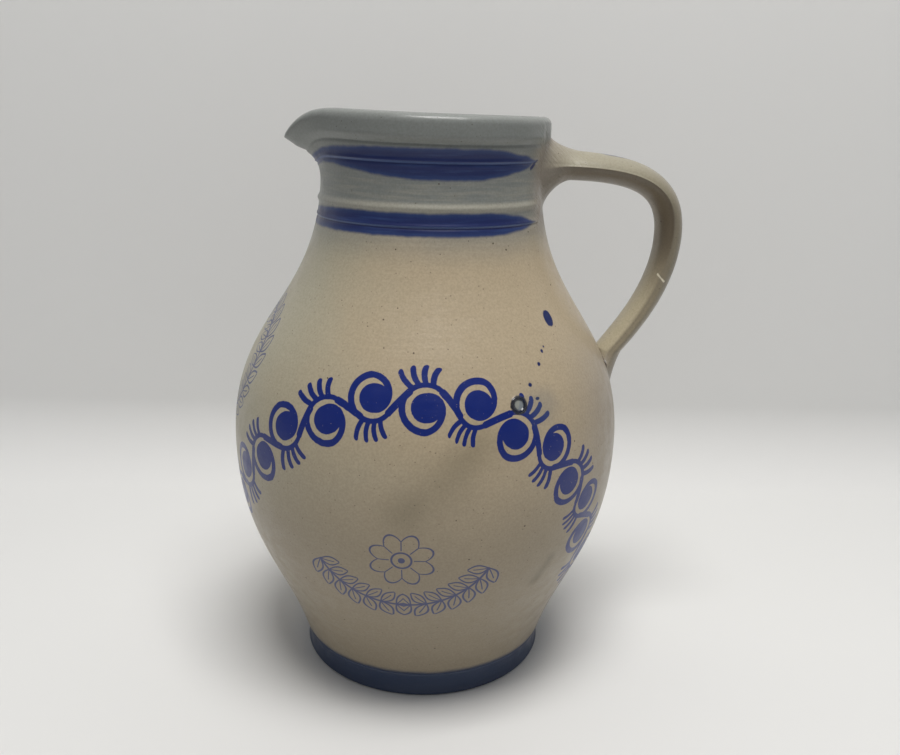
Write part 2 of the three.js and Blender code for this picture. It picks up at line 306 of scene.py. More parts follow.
def strap_line():
    """The strap's middle line in the XZ plane, from the neck to the shoulder."""
    root = (NECK_RADIUS, HANDLE_ROOT_HEIGHT)
    bend = (NECK_RADIUS + HANDLE_REACH, HANDLE_BEND_HEIGHT)
    landing = np.array([plain_radius(np.array(HANDLE_LANDING_HEIGHT)), HANDLE_LANDING_HEIGHT])
    slope = math.radians(HANDLE_LANDING_DEGREES)
    run = np.array([math.cos(slope), math.sin(slope)])
    over_bend = (bend[0], bend[1] + HANDLE_BEND_ABOVE)
    under_bend = (bend[0], bend[1] - HANDLE_BEND_BELOW)
    above = bezier([root, (root[0] + HANDLE_TOP_RUN, root[1]), over_bend, bend])
    below = bezier([bend, under_bend, landing + HANDLE_LANDING_RUN * run, landing])
    return np.concatenate([above, below[1:]])


STRAP_LINE = strap_line()
STRAP_STEPS = np.linalg.norm(np.diff(STRAP_LINE, axis=0), axis=1)
STRAP_TRAVEL = np.concatenate([[0], np.cumsum(STRAP_STEPS)])
STRAP_LENGTH = STRAP_TRAVEL[-1]


def strap_middle(travel):
    """Places on the strap's middle line, as x and z."""
    return np.array([np.interp(travel, STRAP_TRAVEL, STRAP_LINE[:, axis]) for axis in (0, 1)])


def strap_direction(travel):
    """Unit direction of the strap's line, as x and z."""
    step = 1
    ahead = strap_middle(np.clip(travel + step, 0, STRAP_LENGTH))
    behind = strap_middle(np.clip(travel - step, 0, STRAP_LENGTH))
    return (ahead - behind) / np.hypot(*(ahead - behind))


def strap_point(travel, angle):
    """Points of the strap's skin, by the way along its line and the angle round its section."""
    x, z = strap_middle(travel)
    along_x, along_z = strap_direction(travel)
    share = travel / STRAP_LENGTH
    half_thickness = mix(*STRAP_THICKNESS, share) / 2
    lift = np.abs(np.sin(angle)) ** STRAP_EDGE * np.sign(np.sin(angle)) * half_thickness
    across = mix(*STRAP_WIDTH, share) / 2 * np.cos(angle)
    return np.stack(np.broadcast_arrays(x - along_z * lift, across, z + along_x * lift), -1)


# Where the strap meets the wall. Each root is an oval on the wall, joined to the strap by a smooth sweep of
# clay. Its over side, under side and edges have their own values: how far the oval reaches from its middle,
# how far along the strap the sweep ends, and how strongly the sweep leaves the wall and meets the strap.
UPPER_ROOT = {
    "height": 228.5,
    "upwards": 1,
    "reach": (14.5, 19, 20),
    "join": (20, 15, 12),
    "leave": (9, 18, 14),
    "arrive": (20, 16, 14),
}
LOWER_ROOT = {
    "height": 138.6,
    "upwards": -1,
    "reach": (11, 7, 14),
    "join": (10, 3, 6),
    "leave": (9, 2, 6),
    "arrive": (9, 2, 6),
}


def by_side(values, angle):
    """One value for each angle round the strap, from those of its over side, its under side and its edges."""
    over, under, edge = values
    sine = np.sin(angle)
    return np.where(sine > 0, over, under) * sine**2 + edge * np.cos(angle) ** 2


def root_oval(root, angle, grown=0):
    """Height and angle from the handle of a root's oval on the wall, grown outwards by a distance."""
    over, under, edge = root["reach"]
    sine = np.sin(angle)
    height = root["height"] + root["upwards"] * (np.where(sine > 0, over, under) + grown) * sine
    around = (edge + grown) * np.cos(angle)
    return height, around / plain_radius(np.array(root["height"]))


def hermite(start, end, leave, arrive, share):
    """Points on curves that leave start and arrive at end along two directions."""
    square = share**2
    cube = share**3
    return (
        (2 * cube - 3 * square + 1) * start
        + (cube - 2 * square + share) * leave
        + (3 * square - 2 * cube) * end
        + (cube - square) * arrive
    )


def root_sweep(root, angle, travel, outwards):
    """Rings from the oval on the wall to the strap. outwards is 1 where the strap's line leaves the wall
    and -1 where it comes back to it."""
    edge = outer_wall(*root_oval(root, angle))
    inwards = outer_wall(*root_oval(root, angle, -0.5)) - edge
    inwards /= np.linalg.norm(inwards, axis=-1, keepdims=True)
    along_x, along_z = strap_direction(travel)
    along = np.stack([along_x, np.zeros_like(along_x), along_z], -1)
    leave = inwards * by_side(root["leave"], angle)[:, None]
    arrive = outwards * along * by_side(root["arrive"], angle)[:, None]
    end = strap_point(travel, angle)
    return [hermite(edge, end, leave, arrive, share) for share in np.linspace(0, 1, FILLET_RINGS + 1)]


# The skin, put together from rows and rings


class Skin:
    """Points, faces and their bake coordinates, gathered piece by piece. The marks are what the materials
    know about each point: its height before the pull, whether it is inside the jug, how much it belongs to
    the handle, and where on the strap it lies."""

    MARKS = ("height", "inside", "handle", "travel", "turn")

    def __init__(self):
        self.points = []
        self.marks = []
        self.faces = []
        self.face_uvs = []
        self.count = 0

    def add(self, points, **marks):
        """Adds points with their marks, and gives their numbers."""
        points = np.asarray(points, float).reshape(-1, 3)
        ones = np.ones(len(points))
        self.points.append(points)
        self.marks.append({name: ones * marks.get(name, 0) for name in self.MARKS})
        self.count += len(points)
        return np.arange(self.count - len(points), self.count)

    def face(self, corners, uvs):
        self.faces.append([int(corner) for corner in corners])
        self.face_uvs.extend(uvs)

    def band(self, ring, next_ring, uv_of, left_out=()):
        """Faces between two closed rings of corners. uv_of takes the ring, 0 or 1, and the side's number."""
        for side in range(len(ring)):
            if side in left_out:
                continue
            after = (side + 1) % len(ring)
            uvs = [uv_of(0, side), uv_of(0, side + 1), uv_of(1, side + 1), uv_of(1, side)]
            self.face((ring[side], ring[after], next_ring[after], next_ring[side]), uvs)


# Parts of the bake picture: lowest and highest u, lowest and highest v
WALL_AREA = (0.0, 1.0, 0.30, 1.0)
INSIDE_AREA = (0.0, 0.62, 0.0, 0.24)
BASE_AREA = (0.0, 0.62, 0.245, 0.295)
HANDLE_AREA = (0.64, 1.0, 0.0, 0.28)
SEAM_POLAR = math.pi / 2
SWEEP_LENGTH = 15 # room for each root's sweep in the handle's area, in millimetres


def in_area(area, u, v):
    """A place in a part of the bake picture, from shares of its width and height."""
    return (mix(area[0], area[1], u), mix(area[2], area[3], v))


def profile_share(rows):
    """How far along a run of rows each one lies, from 0 to 1."""
    steps = np.linalg.norm(np.diff(rows, axis=0), axis=1)
    travel = np.concatenate([[0], np.cumsum(steps)])
    return travel / travel[-1]


def polar_of_column(column):
    """Angle from the handle of a column of corners, counted from the seam."""
    return SEAM_POLAR + 2 * math.pi * np.asarray(column) / COLUMNS


def root_cells(root, heights):
    """First and last row and column of the wall's corners round a root, whose cells give way to it."""
    height, polar = root_oval(root, np.linspace(0, 2 * np.pi, OVAL_STEPS), PATCH_GROWTH + PATCH_MARGIN)
    first_row = int(np.searchsorted(heights, height.min())) - 1
    last_row = int(np.searchsorted(heights, height.max()))
    half = int(math.ceil(polar.max() / (2 * math.pi) * COLUMNS))
    middle = COLUMNS * 3 // 4
    return first_row, last_row, middle - half, middle + half


def loop_round(low, high, left, right):
    """Rows and columns of the corners round an opening."""
    return (
        [(low, column) for column in range(left, right)]
        + [(row, right) for row in range(low, high)]
        + [(high, column) for column in range(right, left, -1)]
        + [(row, left) for row in range(high, low, -1)]
    )


def close_middle(skin, ring, level, area, v, inside):
    """A fan of faces from a ring to the jug's axis."""
    middle = skin.add([(0, 0, level)], height=-FOOT_HEIGHT, inside=inside)[0]
    for column in range(COLUMNS):
        u, next_u = column / COLUMNS, (column + 1) / COLUMNS
        uvs = [in_area(area, share, v) for share in (u, u, next_u)]
        skin.face((middle, ring[column], ring[(column + 1) % COLUMNS]), uvs)


def add_vessel(skin):
    """The turned section all the way round, open at the handle's roots. Gives, for each root, the loop of
    corners round its opening, and the wall's heights with their places in the bake picture."""
    base, outer, lip, inner = base_rows(), outer_rows(), lip_rows(), inner_rows()
    rows = np.concatenate([base, outer, lip, inner])
    outer_start = len(base)
    inner_start = outer_start + len(outer) + len(lip)
    height = rows[:, 1:]
    polar = polar_of_column(np.arange(COLUMNS))[None]
    lines = turned_lines(height, polar)
    lines[:outer_start] = 0
    lines[outer_start + len(outer):] = 0
    points = pulled(rows[:, :1] + lines, height, polar)
    inside = np.arange(len(rows)) >= inner_start
    underside = np.arange(len(rows)) < outer_start - EDGE_ROWS
    marked_height = np.where(underside, -FOOT_HEIGHT, rows[:, 1])
    marks = {"height": np.repeat(marked_height, COLUMNS), "inside": np.repeat(inside, COLUMNS)}
    numbers = skin.add(points, **marks).reshape(len(rows), COLUMNS)

    left_out = {}
    loops = []
    for root in (UPPER_ROOT, LOWER_ROOT):
        low, high, left, right = root_cells(root, outer[:, 1])
        low, high = low + outer_start, high + outer_start
        left_out.update({row: range(left, right) for row in range(low, high)})
        loop_rows, columns = np.array(loop_round(low, high, left, right)).T
        polars = polar_of_column(columns) - 2 * math.pi
        loops.append((numbers[loop_rows, columns], rows[loop_rows, 1], polars))

    areas = [
        (0, outer_start, BASE_AREA),
        (outer_start - 1, inner_start + 1, WALL_AREA),
        (inner_start, len(rows), INSIDE_AREA),
    ]
    for first, last, area in areas:
        share = profile_share(rows[first:last])
        for row in range(first, last - 1):
            def uv_of(step, column):
                return in_area(area, column / COLUMNS, share[row - first + step])

            skin.band(numbers[row], numbers[row + 1], uv_of, left_out.get(row, ()))
    close_middle(skin, numbers[0], BASE_HOLLOW, BASE_AREA, 0.0, inside=0)
    close_middle(skin, numbers[-1], FLOOR, INSIDE_AREA, 1.0, inside=1)
    wall_rows = rows[outer_start - 1:inner_start + 1]
    wall_count = len(outer) + 1
    return loops, (wall_rows[:wall_count, 1], profile_share(wall_rows)[:wall_count])


def bridge(skin, outer_loop, outer_turn, inner_loop, inner_turn, place):
    """Triangles between two loops round the same middle, the inner one sorted by its turn."""
    order = np.argsort(outer_turn)
    outer_loop, outer_turn = outer_loop[order], outer_turn[order]

    def next_turn(turns, index):
        return turns[(index + 1) % len(turns)] + 2 * math.pi * ((index + 1) // len(turns))

    i = j = 0
    while i < len(outer_loop) or j < len(inner_loop):
        a, b = outer_loop[i % len(outer_loop)], inner_loop[j % len(inner_loop)]
        outer_first = next_turn(outer_turn, i) <= next_turn(inner_turn, j)
        if j >= len(inner_loop) or (i < len(outer_loop) and outer_first):
            corners = (a, outer_loop[(i + 1) % len(outer_loop)], b)
            i += 1
        else:
            corners = (a, inner_loop[(j + 1) % len(inner_loop)], b)
            j += 1
        skin.face(corners, [place[int(corner)] for corner in corners])


def add_patch(skin, root, opening, turn, wall_v):
    """Rings on the wall round a root, from the opening in the wall in to the root's oval, which it gives."""
    loop, heights, polars = opening
    place = {}

    def remember(numbers, height, polar):
        u = (polar - SEAM_POLAR) / (2 * math.pi) % 1.0
        v = np.interp(height, *wall_v)
        place.update({int(number): in_area(WALL_AREA, a, b) for number, a, b in zip(numbers, u, v)})

    def turn_round_root(height, polar):
        up = root["upwards"] * (height - root["height"])
        return np.mod(np.arctan2(up, polar * plain_radius(np.array(root["height"]))), 2 * math.pi)

    remember(loop, heights, polars)
    rings = []
    for grown in np.linspace(PATCH_GROWTH, 0, PATCH_RINGS + 1):
        height, polar = root_oval(root, turn, grown)
        rings.append(skin.add(outer_wall(height, polar), height=height, inside=0))
        remember(rings[-1], height, polar)
    first_turn = turn_round_root(*root_oval(root, turn, PATCH_GROWTH))
    first_turn[0] = 0
    bridge(skin, loop, turn_round_root(heights, polars), rings[0], first_turn, place)
    for pair in zip(rings, rings[1:]):
        skin.band(*pair, lambda step, side: place[int(pair[step][side % HANDLE_SIDES])])
    return rings[-1]


def add_handle(skin, openings, wall_v):
    """Rings on the wall round each root, the sweeps of clay at the roots and the strap between them."""
    turn = 2 * np.pi * np.arange(HANDLE_SIDES) / HANDLE_SIDES
    roots = (UPPER_ROOT, LOWER_ROOT)
    ends = [add_patch(skin, root, opening, turn, wall_v) for root, opening in zip(roots, openings)]
    upper_travel = by_side(UPPER_ROOT["join"], turn)
    lower_travel = STRAP_LENGTH - by_side(LOWER_ROOT["join"], turn)
    rings = [ends[0]]
    along = [-SWEEP_LENGTH]

    def add_ring(points, share, travel, further=0.0):
        marks = {"height": HANDLE_ROOT_HEIGHT, "handle": share, "travel": travel, "turn": turn}
        rings.append(skin.add(points, **marks))
        along.append(np.mean(travel) + further * (1 - share))

    upper = root_sweep(UPPER_ROOT, turn, upper_travel, 1)
    for index in range(1, FILLET_RINGS + 1):
        share = index / FILLET_RINGS
        add_ring(upper[index], share, share * upper_travel, -SWEEP_LENGTH)
    for share in np.linspace(0, 1, HANDLE_RINGS + 2)[1:-1]:
        travel = mix(upper_travel, lower_travel, share)
        add_ring(strap_point(travel, turn), 1, travel)
    lower = root_sweep(LOWER_ROOT, turn, lower_travel, -1)
    for index in range(FILLET_RINGS, 0, -1):
        share = index / FILLET_RINGS
        add_ring(lower[index], share, mix(STRAP_LENGTH, lower_travel, share), SWEEP_LENGTH)
    rings.append(ends[1])
    along.append(STRAP_LENGTH + SWEEP_LENGTH)

    place = (np.array(along) - along[0]) / (along[-1] - along[0])
    for index, pair in enumerate(zip(rings, rings[1:])):
        skin.band(*pair, lambda step, side: in_area(HANDLE_AREA, place[index + step], side / HANDLE_SIDES))


# Scroll band: its middle line passes half way between neighbouring motifs at these places, as angle from the
# handle and height. It is the same on both sides of the jug.
BAND_PATH = [
    (-180, 71), (-169, 83), (-159.5, 96.3), (-150.1, 109.8), (-140.4, 122.3), (-129.4, 134.2),
    (-116.2, 142.4), (-102.6, 145.9), (-87.9, 145.5), (-75.8, 139.3), (-64.4, 129), (-56, 116.9),
    (-48.2, 102.3), (-43.2, 88.2), (-38.5, 71), (-31, 55), (-17, 45.5), (0, 43),
]
BAND_PERIOD = 42 # travel from one motif above the line to the next
BAND_START = -7.5 * BAND_PERIOD / 2
BAND_STEPS = 40 # between two of the places


def band_line():
    """Points along the scroll band's middle line, with their travel, direction and way up."""
    knots = np.array(BAND_PATH, float)
    slopes = np.gradient(knots, axis=0)
    share = np.linspace(0, 1, BAND_STEPS, endpoint=False)[:, None]
    spans = zip(knots, knots[1:], slopes, slopes[1:])
    degrees, heights = np.concatenate([hermite(*ends, share) for ends in spans]).T
    polar = np.radians(degrees)
    points = outer_wall(heights, polar)
    travel = BAND_START + np.arange(len(points)) * BAND_PERIOD / 2 / BAND_STEPS
    direction = np.gradient(points, axis=0)
    direction /= np.linalg.norm(direction, axis=1, keepdims=True)
    upwards = outer_wall(heights + 0.5, polar) - outer_wall(heights - 0.5, polar)
    outwards = np.cross(direction, upwards)
    outwards /= np.linalg.norm(outwards, axis=1, keepdims=True)
    way_up = np.cross(outwards, direction)
    return points, travel, direction, way_up


def band_coordinates(points):
    """How far along the scroll band and how far above its middle line each point lies."""
    line, travel, direction, way_up = band_line()
    tree = kdtree.KDTree(len(line))
    for number, point in enumerate(line):
        tree.insert(point, number)
    tree.balance()
    mirrored = points.copy()
    mirrored[:, 1] = -np.abs(points[:, 1])
    nearest = np.array([tree.find(point)[1] for point in mirrored])
    offset = mirrored - line[nearest]
    along = travel[nearest] + np.einsum("ij,ij->i", offset, direction[nearest])
    across = np.einsum("ij,ij->i", offset, way_up[nearest])
    return along, across


def build_jug():
    """The whole jug as one closed skin, with its marks and bake coordinates."""
    skin = Skin()
    openings, wall_v = add_vessel(skin)
    add_handle(skin, openings, wall_v)
    points = np.concatenate(skin.points)
    mesh = bpy.data.meshes.new("jug_skin")
    mesh.from_pydata(points * MILLIMETRE, [], skin.faces)
    uvs = mesh.uv_layers.new(name="OFBake")
    uvs.data.foreach_set("uv", np.array(skin.face_uvs, np.float32).ravel())
    marks = {name: np.concatenate([marks[name] for marks in skin.marks]) for name in Skin.MARKS}
    marks["along"], marks["across"] = band_coordinates(points)
    for name, values in marks.items():
        attribute = mesh.attributes.new(name, "FLOAT", "POINT")
        attribute.data.foreach_set("value", values.astype(np.float32))
    mesh.shade_smooth()
    jug = bpy.data.objects.new("jug_skin", mesh)
    bpy.context.scene.collection.objects.link(jug)
    face_outwards(jug)
    return jug


def face_outwards(piece):
    """Turns every face outwards. The skin is closed, so that is one side all over."""
    work = bmesh.new()
    work.from_mesh(piece.data)
    bmesh.ops.recalc_face_normals(work, faces=work.faces)
    work.to_mesh(piece.data)
    work.free()


# Camera, floor and light

PHOTO_WIDTH = 900
PHOTO_HEIGHT = 755
SENSOR_WIDTH = 36
FOCAL_PIXELS = 899.9
CAMERA_AZIMUTH_DEGREES = -5
CAMERA_DISTANCE = 403.4
CAMERA_HEIGHT = 252.7
CAMERA_YAW_DEGREES = 1.60
CAMERA_PITCH_DEGREES = 16.61
CAMERA_ROLL_DEGREES = 1.34
PICTURE_CENTRE = (451.0, 377.4)


def add_camera():
    """The camera that took the photo, fitted to the jug's outline in it."""
    azimuth = math.radians(CAMERA_AZIMUTH_DEGREES)
    yaw = azimuth - math.radians(CAMERA_YAW_DEGREES)
    pitch = math.radians(CAMERA_PITCH_DEGREES)
    roll = math.radians(CAMERA_ROLL_DEGREES)
    place = Vector((math.sin(azimuth), -math.cos(azimuth), 0)) * CAMERA_DISTANCE
    place.z = CAMERA_HEIGHT
    level_forward = Vector((-math.sin(yaw), math.cos(yaw), 0))
    forward = level_forward * math.cos(pitch) - Vector((0, 0, math.sin(pitch)))
    level_right = Vector((math.cos(yaw), math.sin(yaw), 0))
    level_up = level_right.cross(forward)
    right = level_right * math.cos(roll) + level_up * math.sin(roll)
    up = level_up * math.cos(roll) - level_right * math.sin(roll)
    data = bpy.data.cameras.new("camera")
    data.sensor_width = SENSOR_WIDTH
    data.lens = FOCAL_PIXELS / PHOTO_WIDTH * SENSOR_WIDTH
    data.shift_x = (PHOTO_WIDTH / 2 - PICTURE_CENTRE[0]) / PHOTO_WIDTH
    data.shift_y = (PICTURE_CENTRE[1] - PHOTO_HEIGHT / 2) / PHOTO_WIDTH
    data.clip_start = 0.01
    data.clip_end = 20
    camera = bpy.data.objects.new("camera", data)
    turn = Matrix((right, up, -forward)).transposed().to_4x4()
    camera.matrix_world = Matrix.Translation(place * MILLIMETRE) @ turn
    bpy.context.scene.collection.objects.link(camera)
    bpy.context.scene.camera = camera
    return camera


# Shader nodes, with short ways to make them

INK_EDGE = 0.13 # millimetres over which a printed edge fades


def linear(red, green, blue):
    """A colour as the shader takes it, from its 0 to 255 values."""
    shares = np.array((red, green, blue)) / 255
    bright = ((shares + 0.055) / 1.055) ** 2.4
    return (*np.where(shares <= 0.04045, shares / 12.92, bright).tolist(), 1)


class Value:
    """An output of a shader node, to reckon with like a number."""

    def __init__(self, nodes, socket):
        self.nodes = nodes
        self.socket = socket

    def __add__(self, other):
        return self.nodes.maths("ADD", self, other)

    def __sub__(self, other):
        return self.nodes.maths("SUBTRACT", self, other)

    def __rsub__(self, other):
        return self.nodes.maths("SUBTRACT", other, self)

    def __mul__(self, other):
        return self.nodes.maths("MULTIPLY", self, other)

    def __abs__(self):
        return self.nodes.maths("ABSOLUTE", self)


class Nodes:
    """Makes shader nodes in one tree. What goes into a node may be a Value or a number."""

    def __init__(self, tree):
        self.tree = tree

    def feed(self, socket, value):
        if isinstance(value, Value):
            self.tree.links.new(value.socket, socket)
        else:
            socket.default_value = value

    def make(self, kind, output, inputs=None, **settings):
        """One output of a new node, whose inputs are given by name or number."""
        node = self.tree.nodes.new(kind)
        for name, value in settings.items():
            setattr(node, name, value)
        for name, value in (inputs or {}).items():
            self.feed(node.inputs[name], value)
        return Value(self, node.outputs[output])

    def maths(self, operation, *values):
        return self.make("ShaderNodeMath", 0, dict(enumerate(values)), operation=operation)

    def sine(self, value):
        return self.maths("SINE", value)

    def angle(self, y, x):
        return self.maths("ARCTAN2", y, x)

    def wrap(self, value, low, high):
        return self.maths("WRAP", value, high, low)

    def clip(self, value, low, high):
        return self.maths("MINIMUM", self.maths("MAXIMUM", value, low), high)

    def either(self, *values):
        """The largest of some values."""
        result = values[0]
        for value in values[1:]:
            result = self.maths("MAXIMUM", result, value)
        return result

    def length(self, a, b):
        return self.maths("SQRT", a * a + b * b)

    def ramp(self, value, low, high, to_low=0.0, to_high=1.0, smooth=True):
        """Runs from to_low where the value is low to to_high where it is high."""
        inputs = {"Value": value, "From Min": low, "From Max": high, "To Min": to_low, "To Max": to_high}
        kind = "SMOOTHSTEP" if smooth else "LINEAR"
        return self.make("ShaderNodeMapRange", "Result", inputs, interpolation_type=kind)

    def inside(self, distance, soft=INK_EDGE):
        """1 where a signed distance is below zero."""
        return self.ramp(distance, soft, -soft)

    def blend(self, share, low, high):
        """From one colour to another."""
        return self.make("ShaderNodeMix", 2, {"Factor": share, 6: low, 7: high}, data_type="RGBA")

    def noise(self, vector, size, detail=2.0, roughness=0.5):
        """Noise whose lumps are about size apart, from 0 to 1."""
        inputs = {"Vector": vector, "Scale": 1 / size, "Detail": detail, "Roughness": roughness}
        return self.make("ShaderNodeTexNoise", 0, inputs)

    def ragged(self, vector, size, amount, detail=2.0, roughness=0.5):
        """The same noise about zero, with this amount between its highest and lowest."""
        return (self.noise(vector, size, detail, roughness) - 0.5) * amount

    def mark(self, name):
        """One of the skin's marks."""
        return self.make("ShaderNodeAttribute", "Fac", attribute_name=name)

    def vector(self, x, y, z):
        return self.make("ShaderNodeCombineXYZ", 0, {0: x, 1: y, 2: z})

    def split(self, vector):
        node = self.make("ShaderNodeSeparateXYZ", 0, {0: vector}).socket.node
        return [Value(self, output) for output in node.outputs]

    def vector_maths(self, operation, output, inputs):
        return self.make("ShaderNodeVectorMath", output, inputs, operation=operation)

    def scaled(self, vector, factors):
        return self.vector_maths("MULTIPLY", 0, {0: vector, 1: factors})

    def away(self, vector, place):
        """Distance of a point from a place."""
        return self.vector_maths("DISTANCE", "Value", {0: vector, 1: place})


# Scroll band's motif, in millimetres from the middle of its disc, with y towards its fringe. A crescent of
# bare clay parts the disc from the ring that winds round it, a link runs on to the next motif, and the
# fringe's strokes are given by their angle and how far their tip reaches.

DISC_RADIUS = 5.73
CRESCENT_OUTER = 7.85
HOOK_DEGREES = (130, 175)
HOOK_FADE_DEGREES = 4
HOOK_TIP = 6.35
RING_OUTER = 10.6
RING_TOP = 9.9
RING_GROWTH_DEGREES = 180
RING_GROWTH_POWER = 1.1
RING_THINNING_DEGREES = (270, 350)
LINK = ((6.2, 6.2), (10.5, 2.3))
LINK_HALF = 1.45
STROKES = [(123.5, 18.0), (106.5, 17.2), (90, 16.7), (73.5, 16.5)]
STROKE_START = 9.0
STROKE_HALF = 1.12
STROKE_BEND = 0.75


def along_and_aside(x, y, turn):
    """How far a point lies along a direction, and how far to the left of it."""
    along = x * math.cos(turn) + y * math.sin(turn)
    aside = y * math.cos(turn) - x * math.sin(turn)
    return along, aside


def stroke_distance(n, x, y, degrees, tip):
    """Distance from one bent stroke of the fringe."""
    along, aside = along_and_aside(x, y, math.radians(degrees))
    bend = n.sine(n.ramp(along, STROKE_START, tip, 0.0, math.pi, smooth=False)) * STROKE_BEND
    nearest = n.clip(along, STROKE_START, tip - STROKE_HALF)
    return n.length(along - nearest, aside - bend) - STROKE_HALF


def link_distance(n, x, y):
    """Distance from the straight line that runs on to the next motif."""
    (x0, y0), (x1, y1) = LINK
    along, aside = along_and_aside(abs(x) - x0, y - y0, math.atan2(y1 - y0, x1 - x0))
    nearest = n.clip(along, 0.0, math.hypot(x1 - x0, y1 - y0))
    return n.length(along - nearest, aside) - LINK_HALF


def crescent(n, away, clockwise):
    """The bare crescent between the disc and its ring, which starts as a hook."""
    opening = n.ramp(clockwise, *HOOK_DEGREES, smooth=False)
    low = opening * (DISC_RADIUS - HOOK_TIP) + HOOK_TIP
    high = opening * (CRESCENT_OUTER - HOOK_TIP) + HOOK_TIP
    started = n.ramp(clockwise, HOOK_DEGREES[0], HOOK_DEGREES[0] + HOOK_FADE_DEGREES)
    return n.inside(n.either(low - away, away - high)) * started


def scroll_group():
    """Node group: how much one motif of the scroll band inks a point."""
    group = bpy.data.node_groups.new("scroll", "ShaderNodeTree")
    for name, way in (("X", "INPUT"), ("Y", "INPUT"), ("Ink", "OUTPUT")):
        group.interface.new_socket(name, in_out=way, socket_type="NodeSocketFloat")
    n = Nodes(group)
    x = n.make("NodeGroupInput", "X")
    y = n.make("NodeGroupInput", "Y")
    away = n.length(x, y)
    clockwise = n.wrap(n.angle(x, y) * (180 / math.pi), 0.0, 360.0)
    growth = n.maths("POWER", n.ramp(clockwise, 0, RING_GROWTH_DEGREES, smooth=False), RING_GROWTH_POWER)
    thinning = n.ramp(clockwise, *RING_THINNING_DEGREES, 0.0, RING_OUTER - RING_TOP)
    spiral = growth * (RING_OUTER - DISC_RADIUS) + DISC_RADIUS - thinning
    body = n.inside(away - spiral) * (1.0 - crescent(n, away, clockwise))
    over_top = n.inside(n.either(CRESCENT_OUTER - away, away - RING_TOP)) * n.inside(abs(x) - y, 0.4)
    fringe = [n.inside(stroke_distance(n, x, y, *stroke)) for stroke in STROKES]
    ink = n.either(body, over_top, n.inside(link_distance(n, x, y)), *fringe)
    n.feed(group.nodes.new("NodeGroupOutput").inputs["Ink"], ink)
    return group


# The motifs stand by turns above and below the band's middle line. They run one way up to the flip, and the
# other way after it.
BAND_FLIP = 31.5
BAND_REACH = 22
BAND_WOBBLE = 0.35
MOTIF_OFF_LINE = 2.3


def scroll_band(n, coordinates):
    """How much the scroll band inks the wall."""
    wobble = n.ragged(coordinates, 1.6, BAND_WOBBLE)
    along = n.mark("along") + wobble
    across = n.mark("across") + wobble
    group = scroll_group()
    inks = []
    for shift, upright in ((0, 1), (BAND_PERIOD / 2, -1)):
        x = n.wrap(along + shift, -BAND_PERIOD / 2, BAND_PERIOD / 2)
        y = across * upright + MOTIF_OFF_LINE
        handed = n.ramp(along - x, BAND_FLIP - 0.01, BAND_FLIP + 0.01, 1.0, -1.0, smooth=False)
        inks.append(n.make("ShaderNodeGroup", "Ink", {"X": x * handed, "Y": y}, node_tree=group))
    return n.either(*inks) * n.inside(abs(across) - BAND_REACH, 0.5)


# Leaf ornament, in millimetres: leaves stand slanted on both sides of a round stem. A garland of them hangs
# under a flower on both sides of the jug, and a wreath stands under the lip. Their middles are given by the
# angle from the handle and the height.

LEAF_LENGTH = 9.5
LEAF_HALF = 2.4
LEAF_SLANT_DEGREES = 54
LEAF_SPACING = 6.6
LEAF_OFFSET = -0.5
LEAF_END = 0.3
VEIN_STOP = 3
PRINT_LINE_HALF = 0.42
PRINT_STRETCH = 1.08
SPRAY_MIDDLE = (-101, 72)
SPRAY_STEM_CENTRE = 26
SPRAY_STEM_RADIUS = 41
SPRAY_LEAVES = 6
FLOWER_UP = 11
FLOWER_RADIUS = 9.5
FLOWER_PETALS = 8
FLOWER_PETAL_DEPTH = 2
FLOWER_HEART = 4
FLOWER_SEED = 1.4
FLOWER_REACH = 15
WREATH_MIDDLE = (-180, 145)
WREATH_RADIUS = 25
WREATH_REACH = 36


def line_ink(n, distance):
    """How much a thin printed line inks a point at some distance from its middle."""
    return n.inside(abs(distance) - PRINT_LINE_HALF)


def print_place(n, middle, x, y, height):
    """How far round the jug and how far up from the middle of a print a point lies, alike on both sides."""
    degrees, level = middle
    polar = n.angle(abs(y) * -1.0, x)
    turn = n.wrap(polar - math.radians(degrees), -math.pi, math.pi)
    return turn * n.length(x, y), (height - level) * PRINT_STRETCH


def leafy_ring(n, across, up, radius):
    """How much a round stem with its leaves inks a point."""
    off_stem = n.length(across, up) - radius
    along = n.wrap(n.angle(up, across) * radius, 0.0, LEAF_SPACING) + LEAF_OFFSET
    reach, aside = along_and_aside(along, abs(off_stem), math.radians(LEAF_SLANT_DEGREES))
    width = n.sine(reach * (math.pi / LEAF_LENGTH)) * LEAF_HALF
    within = n.ramp(reach, 0.0, LEAF_END) * n.ramp(reach, LEAF_LENGTH, LEAF_LENGTH - LEAF_END)
    outline = line_ink(n, abs(aside) - width)
    vein = line_ink(n, aside * 1.6) * n.ramp(reach, LEAF_LENGTH - VEIN_STOP + 0.5, LEAF_LENGTH - VEIN_STOP)
    return n.either(line_ink(n, off_stem * 0.8), n.either(outline, vein) * within)


def flower(n, across, up):
    """How much the outlined flower inks a point."""
    away = n.length(across, up)
    petals = n.sine(n.angle(up, across) * (FLOWER_PETALS / 2))
    edge = line_ink(n, away - (abs(petals) * (2 * FLOWER_PETAL_DEPTH) + FLOWER_RADIUS))
    heart = line_ink(n, away - FLOWER_HEART)
    seed = n.inside(away - FLOWER_SEED)
    rays = line_ink(n, petals * (away * 0.45))
    rays *= n.ramp(away, FLOWER_HEART + 0.8, FLOWER_HEART + 1.1)
    rays *= n.ramp(away, FLOWER_RADIUS, FLOWER_RADIUS - LEAF_END)
    return n.either(edge, heart, seed, rays) * n.ramp(away, FLOWER_REACH + 0.5, FLOWER_REACH - 0.5)


